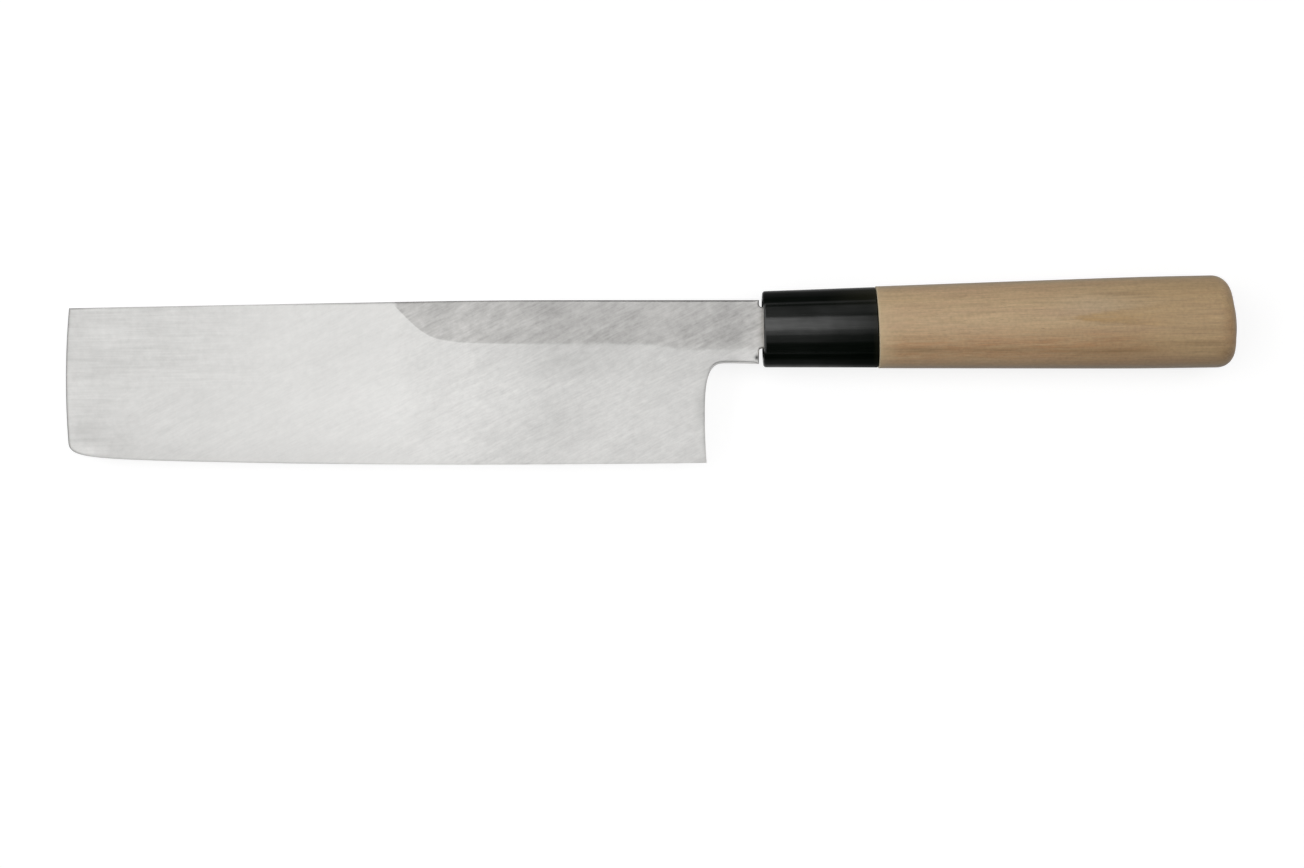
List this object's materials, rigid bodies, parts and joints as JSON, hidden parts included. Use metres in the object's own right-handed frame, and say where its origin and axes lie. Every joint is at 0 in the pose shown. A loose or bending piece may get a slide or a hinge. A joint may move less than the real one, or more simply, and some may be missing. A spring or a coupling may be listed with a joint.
{
  "type": "usuba knife",
  "caption": "Square-tipped Japanese vegetable knife with a tall thin laminated blade, single wide bevel, bare neck, black horn ferrule and oval pale wooden handle.",
  "frame": {"origin": "middle of the underside of the knife's bounding box, which is level with the lowest point of the handle as the blade lies flat with its bevel up", "axes": "+X along the knife from the tip to the butt, +Y from the edge to the spine, +Z out of the bevelled face"},
  "size_m": [0.3292, 0.0532, 0.0212],
  "materials": {
    "soft_iron": "satin, ground on a slant",
    "hard_steel": "satin, ground on a slant",
    "black_horn": "polished",
    "magnolia": "bare, sanded smooth"
  },
  "bodies": {
    "root": {"soft_iron_blade": "soft_iron", "hard_steel_layer": "hard_steel", "horn_ferrule": "black_horn", "magnolia_handle": "magnolia"}
  },
  "joints": []
}
